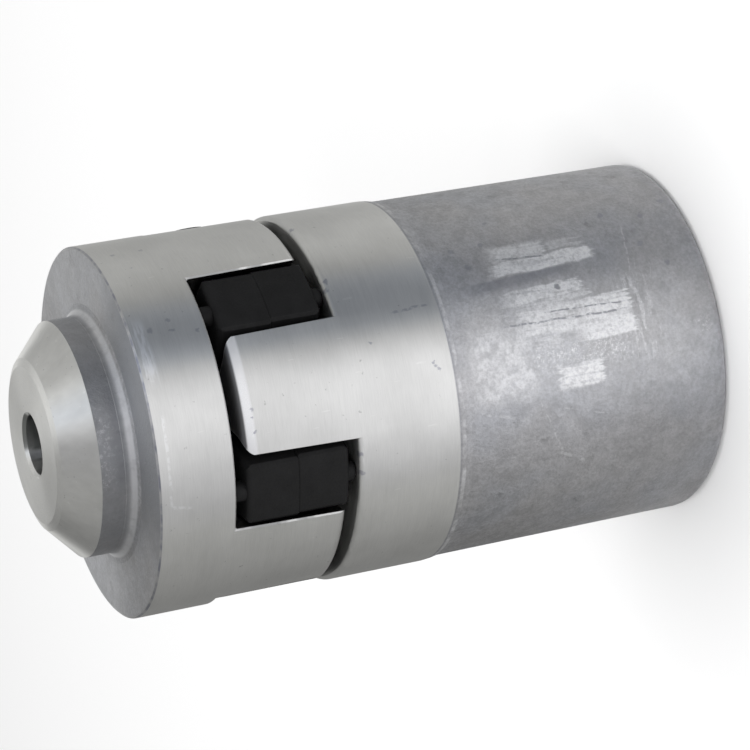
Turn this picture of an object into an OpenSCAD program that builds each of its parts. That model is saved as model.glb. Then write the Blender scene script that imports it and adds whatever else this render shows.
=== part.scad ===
// Flexible claw coupling between a hydraulic pump and an electric motor.
// It stands on the flat end of the motor half, with its axis on +Z and the pump nose on top.
// A claw of the motor half faces -Y. Angles around the axis are counted from there.

/* [Coupling] */
// Turned outside diameter of both halves
outside_diameter = 65; // [60:0.5:75]
// Pilot bore through each half
pilot_bore = 10.5; // [8:0.5:16]
// Chamfer at each mouth of the pilot bores
bore_chamfer = 0.55; // [0.3:0.05:1.5]

/* [Claws] */
// Diameter of the open centre inside the claws
claw_inner_diameter = 40; // [38:0.5:44]
// Width of the window between two claws, across its mouth at the outside and at the claw tips
window_width = 13.1; // [11:0.05:14.5]
// Hollow radius of the claw flanks that seat the lobes
seat_radius = 24; // [20:0.5:40]
// Draft angle of the claw flanks
claw_draft = 1.3; // [0.5:0.1:1.4]
// Chamfer where a claw flank meets the face of its half
claw_root_chamfer = 0.3; // [0.2:0.05:1.2]

/* [Pump half] */
// Thickness from the outer face to the face between the claws
pump_web = 13.25; // [9:0.05:20]
// Diameter of the cast boss
boss_diameter = 41.3; // [34:0.1:50]
// Height of the cast boss wall above the outer face
boss_height = 6.1; // [3:0.1:12]
// Height of the turned cone above the boss wall
nose_height = 5.7; // [3:0.1:10]
// Diameter of the flat end of the cone
nose_face_diameter = 29; // [22:0.5:32]
// Distance from the edge of the flat end at which it starts to be broken, on both sides
nose_edge = 0.8; // [0.3:0.1:1.5]
// Fillet at the foot of the boss
boss_fillet = 0.9; // [0.4:0.1:2]
// Chamfer around the outer face
face_chamfer = 0.3; // [0.1:0.05:0.8]
// Chamfer around the face between the pump claws
pump_rim_chamfer = 0.25; // [0.1:0.05:0.6]
// Gap between the pump claw tips and the motor half
pump_tip_gap = 2.1; // [1.5:0.05:5]
// Rounding of the outer edge of the pump claw tips
pump_tip_round = 1.5; // [1:0.1:2.5]
// Rounding of the pump claw tips where they meet the flanks
pump_corner_round = 0.6; // [0.3:0.1:0.9]
// Depth of the chamfer along the outer edges of the pump claws
pump_edge_chamfer = 0.25; // [0.1:0.05:0.6]

/* [Motor half] */
// Length of the cast barrel
barrel_length = 52.5; // [30:0.5:90]
// Width of the turned band between the barrel and the claws
turned_band = 18.2; // [10:0.1:30]
// Depth of the step from the turned band down to the barrel
cast_step = 0.42; // [0.2:0.02:1]
// Length over which the cast shoulder falls from the band to the barrel
shoulder_length = 2.7; // [1.5:0.1:4]
// Draft angle of the barrel
barrel_draft = 0.3; // [0:0.05:1]
// Rounding of the barrel's free end
end_round = 2; // [1:0.1:4]
// Rounding around the face between the motor claws
motor_rim_round = 0.9; // [0.3:0.1:0.9]
// Gap between the motor claw tips and the pump half
motor_tip_gap = 1.8; // [1.2:0.05:4]
// Rounding of the outer edge of the motor claw tips
motor_tip_round = 2.2; // [1.5:0.1:2.3]
// Rounding of the motor claw tips where they meet the flanks
motor_corner_round = 2.6; // [2.4:0.1:3]
// Depth of the chamfer along the outer edges of the motor claws
motor_edge_chamfer = 0.12; // [0.05:0.01:0.4]

/* [Spider] */
// Length of each lobe from its parting line towards the pump
lobe_pump_half = 9.3; // [7:0.1:13]
// Length of each lobe from its parting line towards the motor
lobe_motor_half = 9.1; // [7:0.1:13]
// Depth of the lobes below the outside diameter
lobe_recess = 0.65; // [0.3:0.05:1.5]
// Rounding of the lobe edges at the ends
lobe_round = 0.9; // [0.4:0.1:1.5]
// Depth of the bevel along the outer edges of the lobes
lobe_bevel = 0.25; // [0.1:0.05:0.5]
// Rounding on each side of the parting line
parting_round = 0.35; // [0.2:0.05:0.6]
// Angle by which the two mould halves are out of register
mould_shift = 0.3; // [0:0.05:0.4]
// Clearance between the lobes and the pump claws, at the claw tips and the outside. Their draft takes some.
pump_flank_clearance = 0.8; // [0.75:0.05:1]
// Free angle between the lobes and the motor claws, at the claw tips. Their draft takes some.
motor_flank_play = 3.75; // [3.65:0.05:4.5]
// Diameter of the hole through the spider
spider_hole = 30; // [24:0.5:32]
// Clearance between the spider's ring and the inside of the claws
ring_clearance = 0.4; // [0.3:0.05:1]
// Depth of the ring's end faces below the lobe ends
ring_inset = 2.3; // [1:0.1:4]
// Diameter of the spacer pins on the lobe ends
spacer_diameter = 3.5; // [2.5:0.1:5]
// Distance of the spacer pins from the outer face of the lobes
spacer_edge = 0.5; // [0.2:0.1:2]
// Rounding of the spacer pin ends
spacer_round = 0.8; // [0.3:0.1:1.2]
// Angle by which the spacer pins sit off the middle of their lobes
spacer_turn = 0.9; // [0:0.1:1.5]
// Height of the spacer pins towards the pump
pump_spacer = 2.2; // [1.5:0.05:3]
// Height of the spacer pins towards the motor
motor_spacer = 1.55; // [1.2:0.05:3.5]
// Diameter of the moulding stub on the outer face of one lobe
stub_diameter = 6.2; // [4:0.1:7]
// Height of the moulding stub above its lobe
stub_height = 0.55; // [0.3:0.05:0.8]
// Distance from the parting line to the middle of the moulding stub
stub_offset = 2.1; // [0:0.1:4]

/* [Hidden] */
$fn = 96;
CLAWS = 3;
SECTOR = 360 / CLAWS;
LOBE_STEP = SECTOR / 2;
FACING = -90;
// Cutters reach past what they cut, and joined shapes into each other, by this much
REACH = 1;
// The arc of a rounding ends past the end face by this share of its size, and so meets it at a clear edge
RUN_OUT = 0.01;
// Rounding of the lobe flanks, as a share of the rounding of their outer face
FLANK_SHARE = 1.35;

outside_radius = outside_diameter / 2;
bore_radius = pilot_bore / 2;
claw_inner_radius = claw_inner_diameter / 2;

// Heights along the axis, from the free end of the motor half up to the pump nose
rim_z = barrel_length + turned_band;
lobe_bottom_z = rim_z + motor_spacer;
parting_z = lobe_bottom_z + lobe_motor_half;
lobe_top_z = parting_z + lobe_pump_half;
seat_z = lobe_top_z + pump_spacer;
pump_face_z = seat_z + pump_web;
boss_top_z = pump_face_z + boss_height;
nose_z = boss_top_z + nose_height;

// The mould halves of the lobes run into each other, which leaves a sharp groove at the parting line
parting_lap = parting_round / 4;

claw_space = seat_z - rim_z;
pump_claw_length = claw_space - pump_tip_gap;
motor_claw_length = claw_space - motor_tip_gap;

// The hollow flanks are deepest at this radius, half way up the claws
seat_mid_radius = (outside_radius + claw_inner_radius) / 2;
// Distance from the window's centre line to the axis of each hollow flank
seat_offset = sqrt(pow(seat_radius, 2) - pow(outside_radius - seat_mid_radius, 2)) - window_width / 2;
// Distance from the coupling's axis to the axis of each hollow flank
seat_reach = sqrt(pow(seat_mid_radius, 2) + pow(seat_offset, 2));

// Angle from the window's centre line to the edge where a flank meets this radius
function mouth_angle(radius) =
    acos((pow(radius, 2) + pow(seat_reach, 2) - pow(seat_radius, 2)) / (2 * radius * seat_reach))
    - atan(seat_offset / seat_mid_radius);
// Angle between the outer surface and the flank's surface at that edge
function mouth_turn(radius) =
    acos((pow(radius, 2) + pow(seat_radius, 2) - pow(seat_reach, 2)) / (2 * radius * seat_radius));

lobe_radius = outside_radius - lobe_recess;
ring_outer_radius = claw_inner_radius - ring_clearance;
spacer_radius = spacer_diameter / 2;
spacer_ring_radius = lobe_radius - spacer_edge - spacer_radius;
pump_flank_play = mould_shift + atan(pump_flank_clearance / outside_radius);
// Lobes are counted anticlockwise from the facing motor claw, seen from the pump
STUB_LOBE = 1;

// What a rounding takes off the outer corner of a profile, with the corner at the origin
module corner_waste(size) {
    translate([-size, (RUN_OUT - 1) * size]) difference() {
        square(size + REACH);
        circle(size);
    }
}

// Round block on z = 0 with its lower and upper outer edges rounded
module rounded_disc(radius, height, lower_round, upper_round) {
    rotate_extrude() difference() {
        square([radius, height]);
        translate([radius, height]) corner_waste(upper_round);
        translate([radius, 0]) mirror([0, 1]) corner_waste(lower_round);
    }
}

// Space in front of one hollow flank: chamfered at the root, and flared where the claw's tip is rounded
module flank_cutter(length, tip_round) {
    slope = tan(claw_draft);
    root_radius = seat_radius - length * slope;
    rotate_extrude() {
        polygon([
            [0, -2 * REACH],
            [root_radius - claw_root_chamfer, -2 * REACH],
            [root_radius - claw_root_chamfer, 0],
            [root_radius + claw_root_chamfer * slope, claw_root_chamfer],
            [seat_radius + REACH * slope, length + REACH],
            [0, length + REACH]
        ]);
        translate([seat_radius - tip_round * slope, length]) mirror([1, 0]) corner_waste(tip_round);
    }
}

// Takes a flat of this depth off the outer edge of a window's flank. The window's centre line is +X, side is
// the flank's side of it, and turn the direction that the flat faces, from the radius through the edge. The
// flat leans with the flank's draft, from the edge's place at this height.
module edge_flat(radius, side, turn, depth, height = 0, lean = 0) {
    rotate(side * mouth_angle(radius)) translate([radius, 0, height]) rotate([side * lean, 0, 0])
        rotate(side * turn) translate([-depth, -REACH, -outside_radius])
            cube([2 * REACH, 2 * REACH, outside_diameter]);
}

// One claw standing on z = 0 and centred on +X, between the centre lines of its two windows
module claw(length, edge_round, corner_round, edge_chamfer) {
    far = 2 * outside_radius;
    half_width = far * tan(LOBE_STEP / 2);
    difference() {
        rotate_extrude() difference() {
            translate([claw_inner_radius, -REACH])
                square([outside_radius - claw_inner_radius, length + REACH]);
            translate([outside_radius, length]) corner_waste(edge_round);
        }
        difference() {
            translate([0, 0, length / 2]) cube([2 * far, 2 * far, 2 * far], center = true);
            translate([0, 0, -far]) linear_extrude(2 * far)
                polygon([[0, 0], [far, -half_width], [far, half_width]]);
        }
        for (side = [-1, 1])
            rotate(side * LOBE_STEP / 2) {
                translate([seat_mid_radius, side * seat_offset, 0]) flank_cutter(length, corner_round);
                edge_flat(outside_radius, -side, mouth_turn(outside_radius) / 2 - 90, edge_chamfer,
                    length, -claw_draft);
            }
    }
}

module claws(length, edge_round, corner_round, edge_chamfer) {
    for (i = [0 : CLAWS - 1])
        rotate(i * SECTOR) claw(length, edge_round, corner_round, edge_chamfer);
}

// Pilot bore between two heights, chamfered at both mouths
module pilot_hole(low, high) {
    mouth = bore_radius + bore_chamfer + REACH;
    cone = bore_chamfer + REACH;
    translate([0, 0, low - REACH]) cylinder(h = high - low + 2 * REACH, r = bore_radius);
    translate([0, 0, low - REACH]) cylinder(h = cone, r1 = mouth, r2 = bore_radius);
    translate([0, 0, high - bore_chamfer]) cylinder(h = cone, r1 = bore_radius, r2 = mouth);
}

// Long half: cast barrel, turned band and three claws with well rounded tips
module motor_half() {
    barrel_top_z = barrel_length - shoulder_length;
    barrel_top_radius = outside_radius - cast_step;
    barrel_end_radius = barrel_top_radius - barrel_top_z * tan(barrel_draft);
    color("silver") difference() {
        union() {
            rotate_extrude() difference() {
                polygon([
                    [0, 0],
                    [barrel_end_radius, 0],
                    [barrel_top_radius, barrel_top_z],
                    [outside_radius - cast_step / 3, barrel_length - shoulder_length / 2],
                    [outside_radius, barrel_length],
                    [outside_radius, rim_z],
                    [0, rim_z]
                ]);
                translate([barrel_end_radius, 0]) mirror([0, 1]) corner_waste(end_round);
                translate([outside_radius, rim_z]) corner_waste(motor_rim_round);
            }
            translate([0, 0, rim_z]) rotate(FACING)
                claws(motor_claw_length, motor_tip_round, motor_corner_round, motor_edge_chamfer);
        }
        pilot_hole(0, rim_z);
    }
}

// Short half: cast web with a boss, a turned cone and three claws pointing down
module pump_half() {
    boss_radius = boss_diameter / 2;
    nose_face_radius = nose_face_diameter / 2;
    cone_angle = atan((boss_radius - nose_face_radius) / nose_height);
    color("lightgray") difference() {
        union() {
            rotate_extrude() {
                polygon([
                    [0, seat_z],
                    [outside_radius - pump_rim_chamfer, seat_z],
                    [outside_radius, seat_z + pump_rim_chamfer],
                    [outside_radius, pump_face_z - face_chamfer],
                    [outside_radius - face_chamfer, pump_face_z],
                    [boss_radius, pump_face_z],
                    [boss_radius, boss_top_z],
                    [nose_face_radius + nose_edge * sin(cone_angle), nose_z - nose_edge * cos(cone_angle)],
                    [nose_face_radius - nose_edge, nose_z],
                    [0, nose_z]
                ]);
                translate([boss_radius, pump_face_z]) difference() {
                    square(boss_fillet);
                    translate([boss_fillet, boss_fillet]) circle(boss_fillet);
                }
            }
            translate([0, 0, seat_z]) mirror([0, 0, 1]) rotate(FACING + LOBE_STEP)
                claws(pump_claw_length, pump_tip_round, pump_corner_round, pump_edge_chamfer);
        }
        pilot_hole(seat_z, nose_z);
    }
}

// What bounds a lobe at one flank: the hollow of the claw's flank at its tip, turned back by the free angle
module lobe_flank(height, side, play) {
    rotate(-side * play) difference() {
        translate([seat_mid_radius, -side * seat_offset, 0])
            rounded_disc(seat_radius, height, FLANK_SHARE * parting_round, FLANK_SHARE * lobe_round);
        edge_flat(lobe_radius, side, mouth_turn(lobe_radius) / 2, lobe_bevel);
    }
}

// Half of one lobe standing on its parting plane, on the window's centre line +X, with the pump claw on its
// +Y or -Y side
module half_lobe(height, pump_side) {
    intersection() {
        rounded_disc(lobe_radius, height, parting_round, lobe_round);
        lobe_flank(height, pump_side, pump_flank_play);
        lobe_flank(height, -pump_side, motor_flank_play);
    }
}

// One moulded rubber piece: a ring, six lobes in two mould halves, and spacer pins on the lobe ends
module spider() {
    ring_height = lobe_top_z - lobe_bottom_z - 2 * ring_inset;
    color("#1c1c1c") difference() {
        union() {
            translate([0, 0, lobe_bottom_z + ring_inset]) cylinder(h = ring_height, r = ring_outer_radius);
            for (i = [0 : 2 * CLAWS - 1]) {
                pump_side = i % 2 == 0 ? 1 : -1;
                rotate(FACING + (i + 0.5) * LOBE_STEP) {
                    translate([0, 0, parting_z + parting_lap]) mirror([0, 0, 1]) rotate(mould_shift)
                        half_lobe(lobe_motor_half + parting_lap, pump_side);
                    translate([0, 0, parting_z - parting_lap]) rotate(-mould_shift)
                        half_lobe(lobe_pump_half + parting_lap, pump_side);
                    rotate(-spacer_turn) translate([spacer_ring_radius, 0, rim_z])
                        rounded_disc(spacer_radius, claw_space, spacer_round, spacer_round);
                    if (i == STUB_LOBE)
                        translate([seat_mid_radius, 0, parting_z + stub_offset]) rotate([0, 90, 0])
                            cylinder(h = lobe_radius + stub_height - seat_mid_radius, d = stub_diameter);
                }
            }
        }
        translate([0, 0, rim_z - REACH]) cylinder(h = claw_space + 2 * REACH, r = spider_hole / 2);
    }
}

motor_half();
spider();
pump_half();
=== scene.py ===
import math

import bpy
from mathutils import Matrix, Vector


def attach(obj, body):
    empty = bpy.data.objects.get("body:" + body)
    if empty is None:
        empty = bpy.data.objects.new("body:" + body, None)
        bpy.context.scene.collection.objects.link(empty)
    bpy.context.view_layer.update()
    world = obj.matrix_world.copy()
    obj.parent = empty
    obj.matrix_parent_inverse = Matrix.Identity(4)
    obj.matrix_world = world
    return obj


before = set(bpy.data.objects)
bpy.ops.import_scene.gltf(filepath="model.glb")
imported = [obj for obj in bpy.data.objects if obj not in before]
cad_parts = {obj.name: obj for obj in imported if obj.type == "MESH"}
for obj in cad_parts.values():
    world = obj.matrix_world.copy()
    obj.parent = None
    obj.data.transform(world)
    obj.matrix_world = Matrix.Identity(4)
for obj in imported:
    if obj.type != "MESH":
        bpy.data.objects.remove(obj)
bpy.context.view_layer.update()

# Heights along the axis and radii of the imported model, in millimetres
BARREL_TOP = 52.5
TIP_ROUNDING = 88.9
PUMP_FACE = 106.1
BOSS_TOP = 112.2
NOSE = 117.9
OUTSIDE = 32.5
BOSS_RADIUS = 20.65
BORE_RADIUS = 5.25
BORE_MOUTH_RADIUS = 5.8

# Colours of the metals, among them painted highlights and painted shade
CAST_COOL = (0.515, 0.522, 0.55)
CAST_WARM = (0.53, 0.527, 0.54)
RUBBED_BARREL = (0.96, 0.962, 0.975)
BOSS_PAINTED_LIGHT_AND_SPOTS = (0.86, 0.865, 0.885)
PALE_MARKS_AND_PAINTED_LIGHT = (0.93, 0.935, 0.95)
TIP_DIMMER_PAINTED_HIGHLIGHT = (0.72, 0.725, 0.735)
TIP_PAINTED_HIGHLIGHT = (0.97, 0.97, 0.98)
TIP_SHADOW = (0.02, 0.02, 0.03)
EDGE_PAINTED_SHADE = (0.16, 0.165, 0.17)
PAINTED_WALL_SHADE = (0.27, 0.28, 0.3)
BORE_PAINTED_SHADE = (0.13, 0.14, 0.135)
DARK_MARKS_AND_SHADE = (0.24, 0.25, 0.31)

# Depth of the bump in millimetres, and the turned marks' height as a share of the casting's grain
SKIN_DEPTH = 0.11
MARK_HEIGHT = 0.06
RUBBER_DEPTH = 0.03
# The inner part of a round spot, where it has its full strength
SPOT_CORE = 0.4


# ---------------------------------------------------------------- materials
class Look:
    """Builds one material out of nodes. A value is a number, a colour or an output of another node."""

    def __init__(self, name, shader="ShaderNodeBsdfPrincipled"):
        self.material = bpy.data.materials.new(name)
        self.material.use_nodes = True
        self.tree = self.material.node_tree
        self.tree.nodes.clear()
        self.shader = self.node(shader)
        output = self.node("ShaderNodeOutputMaterial")
        self.link(self.shader.outputs[0], output.inputs["Surface"])
        self.coords = self.node("ShaderNodeTexCoord")
        # The object's own coordinates in millimetres
        self.mm = self.scaled(self.coords.outputs["Object"], (1000, 1000, 1000))
        self.x, self.y, self.z = self.split(self.mm)
        squares = self.math("POWER", self.x, 2), self.math("POWER", self.y, 2)
        self.radius = self.math("SQRT", self.add(*squares))
        # Degrees round the axis from the side that faces -Y, and the same as a length round the outside
        self.angle = self.math("DEGREES", self.math("ARCTAN2", self.x, self.math("MULTIPLY", self.y, -1)))
        self.arc = self.math("MULTIPLY", self.angle, math.radians(OUTSIDE))
        # Across the grooves of a turned surface, whichever way it faces
        self.across = self.add(self.radius, self.z)
        normal_x, normal_y, self.upward = self.split(self.coords.outputs["Normal"])
        # How far the surface faces away from the axis, from -1 to 1
        facing = self.add(self.times(normal_x, self.x), self.times(normal_y, self.y))
        self.outward = self.math("DIVIDE", facing, self.radius)

    def node(self, kind, **settings):
        made = self.tree.nodes.new(kind)
        for key, value in settings.items():
            setattr(made, key, value)
        return made

    def link(self, value, socket):
        if isinstance(value, bpy.types.NodeSocket):
            self.tree.links.new(value, socket)
        elif socket.type == "RGBA":
            socket.default_value = (*value, 1) if len(value) == 3 else value
        else:
            socket.default_value = value

    def math(self, operation, *values):
        made = self.node("ShaderNodeMath", operation=operation)
        for value, socket in zip(values, made.inputs):
            self.link(value, socket)
        return made.outputs[0]

    def add(self, *values):
        total = values[0]
        for value in values[1:]:
            total = self.math("ADD", total, value)
        return total

    def times(self, *values):
        total = values[0]
        for value in values[1:]:
            total = self.math("MULTIPLY", total, value)
        return total

    def most(self, *values):
        total = values[0]
        for value in values[1:]:
            total = self.math("MAXIMUM", total, value)
        return total

    def split(self, vector):
        made = self.node("ShaderNodeSeparateXYZ")
        self.link(vector, made.inputs[0])
        return made.outputs

    def join(self, x, y, z):
        made = self.node("ShaderNodeCombineXYZ")
        for value, socket in zip((x, y, z), made.inputs):
            self.link(value, socket)
        return made.outputs[0]

    def scaled(self, vector, scale):
        made = self.node("ShaderNodeVectorMath", operation="MULTIPLY")
        self.link(vector, made.inputs[0])
        self.link(scale, made.inputs[1])
        return made.outputs[0]

    def step(self, value, start, end, low=0.0, high=1.0):
        """Rises smoothly from low to high as value goes from start to end."""
        made = self.node("ShaderNodeMapRange", interpolation_type="SMOOTHSTEP")
        sockets = ("Value", "From Min", "From Max", "To Min", "To Max")
        for given, socket in zip((value, start, end, low, high), sockets):
            self.link(given, made.inputs[socket])
        return made.outputs[0]

    def band(self, value, low, high, soft):
        """1 between low and high, with edges that reach soft to each side."""
        rise = self.step(value, low - soft, low + soft)
        return self.times(rise, self.step(value, high + soft, high - soft))

    def shifted(self, vector, by, amount):
        """The vector moved by 0 to the amount along each axis, where by runs from 0 to 1."""
        made = self.node("ShaderNodeVectorMath", operation="MULTIPLY_ADD")
        self.link(by, made.inputs[0])
        self.link((amount, amount, amount), made.inputs[1])
        self.link(vector, made.inputs[2])
        return made.outputs[0]

    def noise(self, vector, scale, detail=2.0, roughness=0.5, data="value"):
        made = self.node("ShaderNodeTexNoise")
        self.link(vector, made.inputs["Vector"])
        made.inputs["Scale"].default_value = scale
        made.inputs["Detail"].default_value = detail
        made.inputs["Roughness"].default_value = roughness
        return made.outputs[1 if data == "color" else 0]

    def cells(self, vector, scale):
        made = self.node("ShaderNodeTexVoronoi", feature="F1")
        self.link(vector, made.inputs["Vector"])
        made.inputs["Scale"].default_value = scale
        return made.outputs["Distance"]

    def mix(self, share, a, b):
        made = self.node("ShaderNodeMix", data_type="FLOAT")
        for value, socket in ((share, made.inputs[0]), (a, made.inputs[2]), (b, made.inputs[3])):
            self.link(value, socket)
        return made.outputs[0]

    def blend(self, share, a, b, how="MIX"):
        made = self.node("ShaderNodeMix", data_type="RGBA", blend_type=how)
        for value, socket in ((share, made.inputs[0]), (a, made.inputs[6]), (b, made.inputs[7])):
            self.link(value, socket)
        return made.outputs[2]

    def bump(self, height, depth, strength=1.0):
        """A bump of that depth in millimetres where height goes from 0 to 1."""
        made = self.node("ShaderNodeBump")
        made.inputs["Distance"].default_value = depth / 1000
        self.link(height, made.inputs["Height"])
        self.link(strength, made.inputs["Strength"])
        return made.outputs[0]

    def spot(self, place, centre, size):
        """1 near this centre, falling to 0 at the distance given as size."""
        made = self.node("ShaderNodeVectorMath", operation="DISTANCE")
        self.link(place, made.inputs[0])
        self.link(centre, made.inputs[1])
        return self.step(made.outputs["Value"], size, SPOT_CORE * size)

    def set(self, **values):
        for name, value in values.items():
            self.link(value, self.shader.inputs[name.replace("_", " ")])


def paint(node, look):
    """Gives a CAD node this look in all its material slots."""
    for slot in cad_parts[node].material_slots:
        slot.material = look.material


def metal(name):
    """Bare metal whose reflections are drawn out across the marks that run round the axis."""
    look = Look(name)
    look.set(Metallic=1.0, Anisotropic=0.8, Anisotropic_Rotation=0.25)
    tangent = look.node("ShaderNodeTangent", direction_type="RADIAL", axis="Z")
    look.link(tangent.outputs[0], look.shader.inputs["Tangent"])
    return look


def turned_surface(look):
    """Colour, roughness and height of a turned face: fine marks that run round the axis."""
    turn = look.math("DIVIDE", look.angle, 40)
    fine = look.noise(look.join(look.across, turn, 0.3), 9, 2)
    coarse = look.noise(look.join(look.across, turn, 7.1), 1.3, 3)
    cloud = look.noise(look.mm, 0.12, 2)
    mark = look.mix(0.4, fine, coarse)
    speck = look.times(look.step(look.noise(look.mm, 0.9, 3, 0.6), 0.68, 0.76), 0.22)
    glint = look.times(look.step(look.noise(look.scaled(look.mm, (1.3, 1.3, 0.2)), 1, 2), 0.71, 0.75), 0.06)
    shade = look.add(look.step(mark, 0.3, 0.7, 0.62, 0.68), look.step(cloud, 0.3, 0.7, -0.025, 0.025),
                     look.times(speck, -1), glint)
    return look.join(shade, shade, look.times(shade, 0.985)), look.step(coarse, 0.3, 0.7, 0.31, 0.37), mark


def cast_surface(look):
    """Colour, roughness and height of the skin of a casting: grainy and mottled, with a few shallow dents."""
    grain = look.noise(look.mm, 1.6, 4, 0.75)
    mottle = look.noise(look.mm, 0.4, 3, 0.6)
    tint = look.noise(look.mm, 0.07, 2)
    warp = look.noise(look.mm, 0.8, 3, data="color")
    dent = look.cells(look.shifted(look.mm, warp, 2.6), 0.27)
    few = look.step(look.noise(look.mm, 0.23, 1), 0.5, 0.62)
    dent = look.times(few, look.step(dent, 0.05, 0.3, 1, 0))
    # The colour darkens towards z 0, from z 34 down to z 12
    shade = look.times(look.step(grain, 0.3, 0.7, 0.85, 1.15), look.step(mottle, 0.3, 0.7, 0.91, 1.09),
                       look.mix(dent, 1, 0.82), look.step(look.z, 12, 34, 0.88, 1))
    tone = look.blend(look.step(tint, 0.35, 0.65), CAST_COOL, CAST_WARM)
    colour = look.blend(1, tone, look.join(shade, shade, shade), "MULTIPLY")
    height = look.add(grain, look.times(mottle, 0.6), look.times(dent, -0.5))
    return colour, look.step(grain, 0.3, 0.7, 0.54, 0.7), height


def arc_of(angle):
    """Length round the outside in millimetres, from the side that faces -Y."""
    return math.radians(angle) * OUTSIDE


def lean_arc(look, z_from, lean):
    """Length round the outside that drifts by lean for each millimetre above z_from."""
    return look.add(look.arc, look.times(look.add(look.z, -z_from), lean))


def patch(look, z_span, angle_span, ragged, seed, fade, lean, faint, soft):
    """A rubbed patch on the barrel, 0 to 1, ragged along the axis and fading out towards the turned band."""
    fibres = look.noise(look.join(look.times(look.arc, 1.5), look.times(look.z, 0.1), seed), 1, 3, 0.65)
    place = look.add(look.z, look.times(look.add(fibres, -0.5), ragged))
    drift = look.times(look.add(look.noise(look.mm, 0.25, 3), -0.5), 1.6)
    along = look.times(look.step(place, z_span[0] - 0.5, z_span[0] + 0.7),
                       look.step(place, z_span[1], z_span[1] - fade))
    arc = look.add(lean_arc(look, z_span[0], lean), drift)
    over = look.band(arc, arc_of(angle_span[0]), arc_of(angle_span[1]), soft)
    cloud = look.step(look.noise(look.mm, 0.8, 3, 0.65), 0.32, 0.52, 0.82, 1)
    return look.times(along, over, look.step(fibres, 0.32, 0.52, faint, 1), cloud)


def scratch(look, start, end, width):
    """A thin line on the outside between two places given as (angle, z), 0 to 1, broken here and there."""
    (a0, z0), (a1, z1) = (arc_of(start[0]), start[1]), (arc_of(end[0]), end[1])
    length = math.hypot(a1 - a0, z1 - z0)
    da, dz = (a1 - a0) / length, (z1 - z0) / length
    a, z = look.add(look.arc, -a0), look.add(look.z, -z0)
    along = look.add(look.times(a, da), look.times(z, dz))
    waver = look.times(look.add(look.noise(look.mm, 0.5, 2), -0.5), 0.7)
    off = look.math("ABSOLUTE", look.add(look.times(a, dz), look.times(z, -da), waver))
    broken = look.step(look.noise(look.mm, 1.1, 2), 0.4, 0.55, 0.15, 1)
    return look.times(look.step(off, width, 0.3 * width, 0, 1), look.band(along, 0, length, 0.4), broken)


# The highest patch: its span in z, its span of angles, ragged, seed, fade, lean, faint and soft
UPPER_PATCH = ((20.5, 42), (24.4, 29.5), 5, 1.7, 3, 0.062, 0.75, 0.3)
# The same values for the others, and then each one's share
PATCHES = [
    ((29, 41.5), (28, 34.2), 3, 1.9, 4, 0.03, 0.75, 0.6, 0.85),
    ((21.5, 29), (29.5, 33.2), 4, 2.9, 1, 0, 0.15, 0.3, 0.5),
    ((25, 44), (14, 19), 5, 4.1, 7, 0.07, 0.65, 0.3, 0.95),
    ((24, 46), (9.5, 14.5), 6, 5.2, 12, 0.03, 0.6, 0.6, 0.8),
    ((16.5, 32), (-1.5, 12), 6, 8.3, 7, 0.04, 0.75, 0.3, 1),
    ((27, 43), (1.5, 11), 7, 6.1, 7, 0, 0.65, 0.8, 0.95),
    ((31, 38.5), (-3, 4), 5, 3.3, 3, 0, 0.4, 0.8, 0.7),
    ((24, 34), (-15.5, -8), 5, 2.9, 2, 0.03, 0.7, 0.5, 1),
]
# Each has its start and end as (angle, z), and its width
SCRATCHES = [
    ((-15.2, 51.5), (-15.4, 48.9), 0.5), ((-15.4, 48.9), (-19, 47.2), 0.5), ((-19, 47.2), (-23.3, 38.9), 0.4),
    ((34.6, 13.2), (17, 15.2), 0.2), ((19.2, 10.9), (-7, 15), 0.2), ((20.1, 13.7), (-12, 17.4), 0.2),
    ((-17, 37), (-35.7, 32.5), 0.25), ((-20.9, 33.1), (-25.7, 24.2), 0.25), ((-36, 33), (-41, 28), 0.5),
]
GROOVES = [((6.4, 41), (5.6, 17), 0.25), ((29, 38.5), (28, 30), 0.25), ((8.9, 33), (8.2, 18), 0.2)]
PITS = [(35, 45.7), (35.9, 40), (27.9, 44), (44.9, 37), (26.5, 11.3), (18.2, 7.6), (16.5, 29.3), (42.7, 3.2),
        (37.4, 8.6), (40.3, 15.7)]


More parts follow.
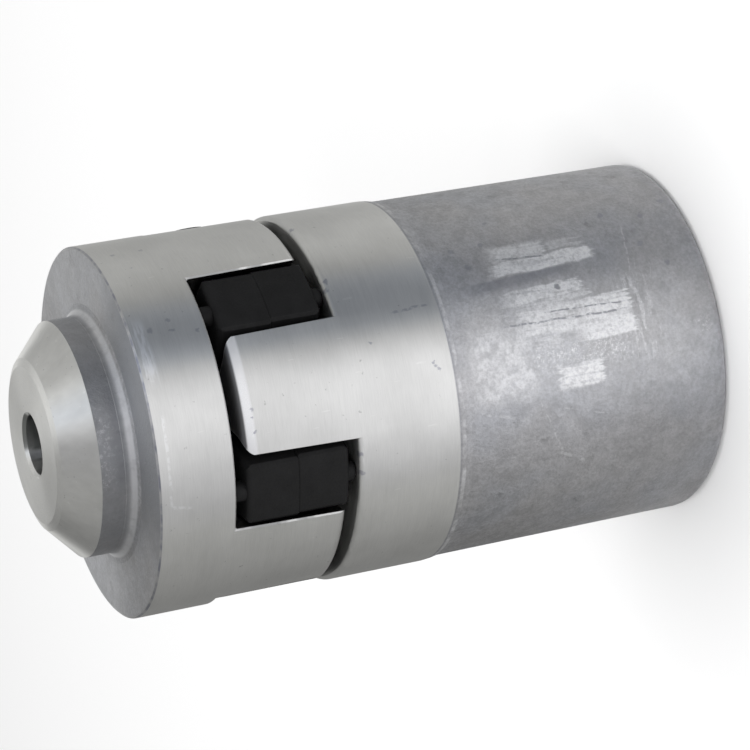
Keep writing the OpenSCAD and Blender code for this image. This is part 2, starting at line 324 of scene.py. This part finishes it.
def rubbed(look):
    """Where the barrel is rubbed bright, 0 to 1, and where painted shade darkens a groove or a pit beside
    that, or the band beside the highest patch.
    """
    speckle = look.step(look.noise(look.mm, 1.9, 6, 0.85), 0.44, 0.64)
    blotch = look.step(look.noise(look.mm, 0.55, 3, 0.65), 0.36, 0.6, 0.6, 1)
    hatch = look.noise(look.join(look.times(look.arc, 0.25), look.times(look.z, 1.3), 5.3), 1, 3, 0.6)
    hatch = look.step(hatch, 0.44, 0.58)

    def area(z_low, z_high, angle_low, angle_high, soft):
        arc = look.band(look.arc, arc_of(angle_low), arc_of(angle_high), soft)
        return look.times(look.band(look.z, z_low, z_high, soft), arc)

    # The largest is kept piece by piece, since a shader can hold only so many values at a time
    worn = patch(look, *UPPER_PATCH)
    for *spans, share in PATCHES:
        worn = look.most(worn, look.times(patch(look, *spans), share))
    worn = look.most(worn, look.times(area(18, 38, -11, 0, 2), speckle))
    worn = look.most(worn, look.times(area(36, 49, -17, 8, 2.5), blotch, 0.8))
    worn = look.most(worn, look.times(area(12, 20, -12, 17, 2.5), look.mix(0.6, speckle, hatch), 0.85))
    worn = look.most(worn, look.times(area(4, 34, -22, 18, 6), blotch, 0.35))
    worn = look.most(worn, look.times(area(26, 51, -18, 20, 4), 0.35))
    worn = look.most(worn, look.times(area(2.5, 6.5, -6.5, -0.5, 1), speckle, 0.6))
    worn = look.most(worn, look.times(area(28, 50, -30, -18, 5), blotch, 0.18))
    for line in SCRATCHES:
        worn = look.most(worn, look.times(scratch(look, *line), 0.4))
    # A band of painted shade along one side of the highest patch, and painted shade in the grooves and the
    # pits
    upper_edge = look.add(lean_arc(look, 20.5, 0.062), -arc_of(24.2))
    lower_edge = look.add(lean_arc(look, 24, 0.09), -arc_of(20.8))
    dark = look.times(look.step(upper_edge, 0.2, -0.3), look.step(lower_edge, -0.6, 1),
                      look.step(look.z, 23, 30), look.step(look.z, 50, 40), 0.62)
    for line in GROOVES:
        dark = look.most(dark, look.times(scratch(look, *line), 0.8))
    ragged = 1.2
    middle = ragged / 2
    place = look.shifted(look.join(look.arc, look.z, 0), look.noise(look.mm, 0.9, 2, data="color"), ragged)
    for angle, z in PITS:
        pit = look.spot(place, (arc_of(angle) + middle, z + middle, middle), 0.75)
        dark = look.most(dark, look.times(pit, 0.75))
    return worn, dark


def chips(look, places):
    """Small ragged dark marks on the outside at places given as (angle, z, size), 0 to 1."""
    ragged = 1.4
    middle = ragged / 2
    place = look.shifted(look.join(look.arc, look.z, 0), look.noise(look.mm, 1.4, 3, data="color"), ragged)
    total = 0
    for angle, z, size in places:
        total = look.most(total, look.spot(place, (arc_of(angle) + middle, z + middle, middle), size))
    return look.times(total, look.step(look.radius, OUTSIDE - 1.5, OUTSIDE - 1))


# Each has its angle, its z and its size
MOTOR_CHIPS = [(-1.4, 55.1, 0.5), (-0.2, 55.6, 0.4), (-2.6, 54.6, 0.4), (-4.7, 88.7, 0.5), (-6.8, 88.8, 0.4),
               (-11.2, 88.6, 0.45), (8.6, 65.8, 0.4), (-29.8, 70.4, 0.7), (-23.8, 70.5, 0.6),
               (28.1, 70.5, 0.7), (31, 69.9, 0.6), (58, 70.2, 0.7)]
PUMP_CHIPS = [(24.4, 102.3, 0.7), (23.2, 98.7, 0.6), (26.7, 98.8, 0.6), (50.4, 100.8, 0.5), (60.4, 97.1, 0.5),
              (60, 102.2, 0.6), (22, 94.5, 0.5)]


def edge_flats_shade(look, colour, depth):
    """The flats along the claws' edges: bright in places, and darkened by painted shade in others."""
    flat = look.times(look.band(look.outward, 0.3, 0.85, 0.05), look.band(look.upward, -0.15, 0.15, 0.05))
    # Where this is high a flat keeps its bright metal, elsewhere painted shade darkens it
    worn = look.step(look.noise(look.mm, 0.22, 2), 0.42, 0.58)
    return look.blend(look.times(flat, look.mix(worn, depth, 0)), colour, EDGE_PAINTED_SHADE)


def motor_metal():
    look = metal("motor_metal")
    turned = look.step(look.z, BARREL_TOP - 0.5, BARREL_TOP - 0.2)
    worn, dark = rubbed(look)
    machined, machined_rough, mark = turned_surface(look)
    cast, cast_rough, skin = cast_surface(look)
    strip = look.times(look.band(look.z, BARREL_TOP - 1.5, BARREL_TOP - 0.8, 0.15),
                       look.step(look.noise(look.mm, 0.3, 3), 0.35, 0.6), 0.6)
    line = look.times(look.band(look.z, BARREL_TOP - 0.6, BARREL_TOP - 0.45, 0.1), 0.6)
    worn = look.times(look.most(worn, strip), look.mix(dark, 1, 0.15))
    shade = look.step(look.noise(look.mm, 1.6, 4, 0.75), 0.3, 0.7, 0.9, 1.08)
    rub = look.blend(1, RUBBED_BARREL, look.join(shade, shade, shade), "MULTIPLY")
    cast = look.blend(worn, cast, rub)
    # Painted shade in the grooves, the pits and the band beside the highest patch, and a dark line below the
    # turned band, in one colour
    cast = look.blend(look.times(look.most(dark, line), 0.5), cast, DARK_MARKS_AND_SHADE)
    near_tip = look.step(look.z, TIP_ROUNDING - 0.5, TIP_ROUNDING)
    tip_highlight = look.times(near_tip, look.step(look.outward, 0.72, 0.85))
    # The rounding of the tip that faces -Y gets a painted highlight, brighter towards +X, and is rougher
    # towards +X
    highlight_side = look.step(look.angle, 3, 12)
    machined = look.blend(tip_highlight, edge_flats_shade(look, machined, 0.6), look.blend(highlight_side, TIP_DIMMER_PAINTED_HIGHLIGHT, TIP_PAINTED_HIGHLIGHT))
    # Where the tip turns away from the outside it gets a painted shadow, as dark as in the gap that hides it
    tip_painted_shadow = look.times(near_tip, look.step(look.outward, 0.85, 0.72), 0.8)
    machined = look.blend(tip_painted_shadow, machined, TIP_SHADOW)
    smudge = look.times(scratch(look, (16.7, 60.5), (17.5, 53.8), 0.35), 0.45)
    machined = look.blend(look.most(look.times(chips(look, MOTOR_CHIPS), 0.6), smudge), machined, DARK_MARKS_AND_SHADE)
    machined_rough = look.mix(tip_highlight, machined_rough, look.mix(highlight_side, 0.26, 0.6))
    look.set(Base_Color=look.blend(turned, cast, machined),
             Roughness=look.mix(turned, look.mix(worn, cast_rough, 0.8), machined_rough))
    height = look.mix(turned, skin, look.times(mark, MARK_HEIGHT))
    look.set(Normal=look.bump(height, SKIN_DEPTH, look.mix(worn, 1, 0.4)))
    return look


def pump_metal():
    look = metal("pump_metal")
    inside = look.step(look.radius, OUTSIDE - 0.45, OUTSIDE - 0.3, 1, 0)
    bare = look.times(inside, look.step(look.z, PUMP_FACE - 0.2, PUMP_FACE - 0.1),
                      look.step(look.z, BOSS_TOP - 0.05, BOSS_TOP + 0.05, 1, 0))
    machined, machined_rough, mark = turned_surface(look)
    cast, cast_rough, skin = cast_surface(look)
    # A painted highlight on a band round the foot of the boss, and pale spots on the front of the boss wall
    foot = look.times(look.band(look.radius, BOSS_RADIUS + 0.15, BOSS_RADIUS + 1.05, 0.25),
                      look.step(look.noise(look.mm, 0.5, 3), 0.3, 0.5, 0.75, 1), 0.85)
    spots = look.times(look.step(look.noise(look.mm, 1.1, 5, 0.8), 0.46, 0.66),
                       look.step(look.z, 107.5, BOSS_TOP), look.band(look.angle, -34, 8, 8),
                       look.step(look.radius, BOSS_RADIUS + 0.1, BOSS_RADIUS + 0.05), 0.6)
    # Painted shade on the whole boss wall, deeper on its front and near its foot
    shade_near_foot = look.times(look.step(look.z, 110.2, 108.4), look.band(look.angle, -28, 20, 10))
    front = look.band(look.angle, -24, 16, 20)
    wall = look.times(look.step(look.outward, 0.8, 0.95),
                      look.add(0.42, look.times(front, 0.12), look.times(shade_near_foot, 0.22)))
    # Painted light makes the outer face a little paler, and painted shade darkens it in front of the boss
    flat = look.times(look.step(look.upward, 0.8, 0.95),
                      look.step(look.radius, BOSS_RADIUS + 1.6, BOSS_RADIUS + 2.4))
    face_painted_shade = look.times(flat, look.band(look.angle, -46, 44, 18), 0.75)
    cast = look.blend(look.times(flat, 0.2), cast, BOSS_PAINTED_LIGHT_AND_SPOTS)
    cast = look.blend(look.most(wall, face_painted_shade), cast, PAINTED_WALL_SHADE)
    cast = look.blend(look.most(foot, spots), cast, BOSS_PAINTED_LIGHT_AND_SPOTS)
    uneven = look.noise(look.join(look.times(look.arc, 0.3), 0, 3), 1, 3)
    burr = look.times(look.band(look.z, PUMP_FACE - 0.28, PUMP_FACE + 0.1, 0.04),
                      look.step(look.radius, OUTSIDE - 0.33, OUTSIDE - 0.28),
                      look.step(uneven, 0.4, 0.6, 0.35, 1))
    machined = edge_flats_shade(look, look.blend(look.times(burr, 0.85), machined, DARK_MARKS_AND_SHADE), 0.6)
    streaks = look.noise(look.join(look.times(look.arc, 0.35), look.times(look.z, 1.8), 4), 1, 3)
    streaks = look.times(look.band(look.z, 103.2, 105.5, 0.5), look.band(look.arc, arc_of(9), arc_of(27), 2),
                         look.step(streaks, 0.38, 0.6, 0.25, 0.9))
    lines = look.most(scratch(look, (-2, 104), (-29.4, 104.2), 0.4),
                      scratch(look, (-29.4, 104.2), (-30.5, 100.8), 0.4))
    machined = look.blend(look.most(streaks, look.times(lines, 0.35)), machined, PALE_MARKS_AND_PAINTED_LIGHT)
    machined = look.blend(look.times(chips(look, PUMP_CHIPS), 0.4), machined, DARK_MARKS_AND_SHADE)
    # The bore has painted shade, with a painted reflection as a light streak and a grey part on its far side,
    # where its mouth has painted shade too
    about = look.add(look.angle, look.step(look.angle, 0, 0.1, 360, 0))
    bore = look.times(look.step(look.radius, BORE_RADIUS + 0.25, BORE_RADIUS + 0.05),
                      look.step(look.z, NOSE, NOSE - 2))
    painted_streak_reflection = look.band(about, 186, 206, 5)
    painted_grey_reflection = look.times(look.step(about, 204, 212), look.step(about, 262, 250))
    mouth_painted_shade = look.times(look.step(look.radius, BORE_MOUTH_RADIUS + 0.05, BORE_MOUTH_RADIUS),
                       look.band(about, 100, 183, 6), 0.75)
    machined = look.blend(look.times(bore, painted_streak_reflection, 0.9), machined, PALE_MARKS_AND_PAINTED_LIGHT)
    machined = look.blend(look.times(bore, painted_grey_reflection, 0.3), machined, PALE_MARKS_AND_PAINTED_LIGHT)
    painted_bore_shade = look.times(bore, look.mix(painted_streak_reflection, look.mix(painted_grey_reflection, 0.8, 0.1), 0))
    machined = look.blend(look.most(painted_bore_shade, mouth_painted_shade), machined, BORE_PAINTED_SHADE)
    look.set(Base_Color=look.blend(bare, machined, cast),
             Roughness=look.mix(bare, machined_rough, cast_rough))
    look.set(Normal=look.bump(look.mix(bare, look.times(mark, MARK_HEIGHT), skin), SKIN_DEPTH))
    return look


def rubber():
    look = Look("rubber")
    fine = look.noise(look.mm, 3, 3, 0.6)
    broad = look.noise(look.mm, 0.35, 2)
    shade = look.step(look.mix(0.5, fine, broad), 0.3, 0.7, 0.0035, 0.007)
    look.set(Base_Color=look.join(shade, shade, look.times(shade, 1.06)),
             Roughness=look.step(fine, 0.3, 0.7, 0.55, 0.75), Normal=look.bump(fine, RUBBER_DEPTH),
             Specular_IOR_Level=0.25)
    return look


paint("motor_half", motor_metal())
pump_look = pump_metal()
paint("pump_half", pump_look)
paint("spider", rubber())


def added(name, data):
    """A new object of the scene with this mesh, lamp or camera."""
    made = bpy.data.objects.new(name, data)
    bpy.context.scene.collection.objects.link(made)
    return made


def revolve(name, profile, turns, closed):
    """A smooth ring from a closed profile of (radius, z) in millimetres, or a shell from an open one."""
    count = len(profile)
    rows = count if closed else count - 1
    angles = [2 * math.pi * k / turns for k in range(turns)]
    points = [(r * math.sin(t) / 1000, -r * math.cos(t) / 1000, z / 1000) for r, z in profile for t in angles]
    faces = [(i * turns + k, i * turns + (k + 1) % turns, (i + 1) % count * turns + (k + 1) % turns,
              (i + 1) % count * turns + k) for i in range(rows) for k in range(turns)]
    mesh = bpy.data.meshes.new(name)
    mesh.from_pydata(points, [], faces)
    for polygon in mesh.polygons:
        polygon.use_smooth = True
    return added(name, mesh)


# The cast foot of the boss flows into the outer face in a wide hollow
FOOT, FOOT_STEPS, FOOT_TURNS, SUNK = 2.0, 16, 192, 0.3
hollow = [(BOSS_RADIUS + FOOT * (1 - math.cos(t)), PUMP_FACE + FOOT * (1 - math.sin(t)))
          for t in (math.pi / 2 * i / FOOT_STEPS for i in range(FOOT_STEPS + 1))]
hollow += [(BOSS_RADIUS + FOOT, PUMP_FACE - SUNK), (BOSS_RADIUS - SUNK, PUMP_FACE - SUNK),
           (BOSS_RADIUS - SUNK, PUMP_FACE + FOOT)]
foot = revolve("boss_foot", hollow, FOOT_TURNS, closed=True)
foot.data.materials.append(pump_look.material)
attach(foot, "pump_half")

# ---------------------------------------------------------------- stage
FLOOR_HALF = 4.0
PAPER, PAPER_ROUGHNESS = (0.9, 0.9, 0.9), 0.9
mesh = bpy.data.meshes.new("floor")
mesh.from_pydata([(-FLOOR_HALF, -FLOOR_HALF, 0), (FLOOR_HALF, -FLOOR_HALF, 0), (FLOOR_HALF, FLOOR_HALF, 0),
                  (-FLOOR_HALF, FLOOR_HALF, 0)], [], [(0, 1, 2, 3)])
floor = added("floor", mesh)
paper = Look("pale_floor")
paper.set(Base_Color=PAPER, Roughness=PAPER_ROUGHNESS)
mesh.materials.append(paper.material)

# The object is lit by a dim world, while the camera and the reflections see a white one
WORLD = 0.55
world = bpy.data.worlds.new("studio")
bpy.context.scene.world = world
world.use_nodes = True
nodes, links = world.node_tree.nodes, world.node_tree.links
nodes["Background"].inputs[0].default_value = (1, 1, 1, 1)
path = nodes.new("ShaderNodeLightPath")
seen = path.outputs["Is Camera Ray"]
for ray in ("Is Glossy Ray", "Is Transmission Ray"):
    either = nodes.new("ShaderNodeMath")
    either.operation = "MAXIMUM"
    links.new(seen, either.inputs[0])
    links.new(path.outputs[ray], either.inputs[1])
    seen = either.outputs[0]
level = nodes.new("ShaderNodeMath")
level.operation = "MULTIPLY_ADD"
links.new(seen, level.inputs[0])
level.inputs[1].default_value = 1 - WORLD
level.inputs[2].default_value = WORLD
links.new(level.outputs[0], nodes["Background"].inputs[1])


MIDDLE = Vector((0, 0, 0.06))


def lamp(name, place, side, power):
    """A square lamp that points at the part's middle and isn't seen in reflections."""
    data = bpy.data.lights.new(name, "AREA")
    data.shape = "RECTANGLE"
    data.size = data.size_y = side
    data.energy = power
    made = added(name, data)
    made.location = place
    made.rotation_mode = "QUATERNION"
    made.rotation_quaternion = (MIDDLE - Vector(place)).to_track_quat("-Z", "Y")
    made.visible_glossy = False


lamp("front_lamp", (-0.25, -0.9, 0.55), 0.6, 5)
lamp("top_lamp", (0.1, 0.1, 1.1), 0.7, 7)

# Brightness of the tent's parts, before each is shaped by the angle round the axis and the height
BASE_LIGHT = 0.27
KEY_WIDE, KEY_NARROW = 0.42, 0.56
FILL_LIGHT, FILL_LOW, FILL_DIP, FILL_END = 0.31, 0.14, -0.1, 0.11
NOSE_LIGHT = 0.56
REAR_LIGHT = 0.25
TOP_LIGHT, CARD_LIGHT = 0.43, 0.62
TENT_COOL = (0.92, 0.985, 1.09)
TENT_NEUTRAL = (1, 1, 1.015)
TENT_WARM = (1, 1, 0.98)


def light_tent():
    """A white tent round the part, with bright and dim sides, that only the reflections see."""
    radius, wall, top, turns, rings = 70, 160, 80, 96, 10
    profile = [(radius, 0), (radius, wall / 2)]
    profile += [(radius * math.cos(t), wall + top * math.sin(t))
                for t in (math.pi / 2 * i / rings for i in range(rings + 1))]
    tent = revolve("light_tent", profile, turns, closed=False)
    tent.visible_camera = tent.visible_diffuse = tent.visible_shadow = tent.visible_transmission = False
    look = Look("tent_light", "ShaderNodeEmission")
    angle = look.angle
    # The key light comes up over the front and falls off past it, a little later higher up
    rise_angle = look.add(angle, look.step(look.z, 64, 84, 0, -8))
    fall_angle = look.add(angle, look.step(look.z, 64, 84, 0, -4))
    rise = look.add(look.times(look.step(angle, -125, -24), KEY_WIDE),
                    look.times(look.step(rise_angle, -56, -10), KEY_NARROW))
    by_height = look.add(look.step(look.z, 50, 65, 1, 0.81), look.step(look.z, 72, 88, 0, 0.06))
    key = look.times(rise, look.step(fall_angle, 1, 31, 1, 0), by_height)
    # The fill goes on from the right round to the back, and is stronger low down
    low = look.step(look.z, 22, 48, FILL_LOW, 0)
    fill = look.add(look.times(look.step(angle, 38, 80), look.add(low, FILL_LIGHT)),
                    look.step(angle, 84, 115, 0, FILL_DIP), look.step(angle, 120, 150, 0, FILL_END))
    # A patch behind the nose, and what is left of the fill past the back
    nose = look.times(look.step(look.math("ABSOLUTE", angle), 130, 155), look.band(look.z, 108, 124, 4),
                      NOSE_LIGHT)
    rear = look.step(angle, -178, -150, REAR_LIGHT, 0)
    wall_light = look.add(BASE_LIGHT, key, fill, nose, rear)
    card = look.times(look.step(look.x, -18, 22), look.step(look.x, 52, 72, 1, 0), CARD_LIGHT)
    top_light = look.add(TOP_LIGHT, card)
    cool, neutral = look.band(angle, 22, 54, 6), look.band(angle, -54, 20, 8)
    colour = look.blend(cool, look.blend(neutral, TENT_WARM, TENT_NEUTRAL), TENT_COOL)
    look.set(Color=colour, Strength=look.mix(look.step(look.z, 140, 185), wall_light, top_light))
    tent.data.materials.append(look.material)


light_tent()

# ---------------------------------------------------------------- camera
# Fitted to edges in the photograph: place, the picture's right and up, and the focal length in pixels
CAMERA_PLACE = Vector((-0.0317793, -0.5208835, 0.2520102))
CAMERA_RIGHT = Vector((-0.1980774, -0.3374038, -0.9202848))
CAMERA_UP = Vector((0.9783723, -0.1251522, -0.1646953))
FOCAL_PIXELS, PHOTO_PIXELS, SENSOR = 3130.58, 750, 36
camera = added("camera", bpy.data.cameras.new("camera"))
turn = Matrix((CAMERA_RIGHT, CAMERA_UP, CAMERA_RIGHT.cross(CAMERA_UP))).transposed()
camera.matrix_world = Matrix.Translation(CAMERA_PLACE) @ turn.to_4x4()
camera.data.sensor_width = SENSOR
camera.data.lens = SENSOR * FOCAL_PIXELS / PHOTO_PIXELS
camera.data.clip_start = 0.01
camera.data.clip_end = 50
bpy.context.scene.camera = camera
bpy.context.scene.view_settings.view_transform = "Standard"
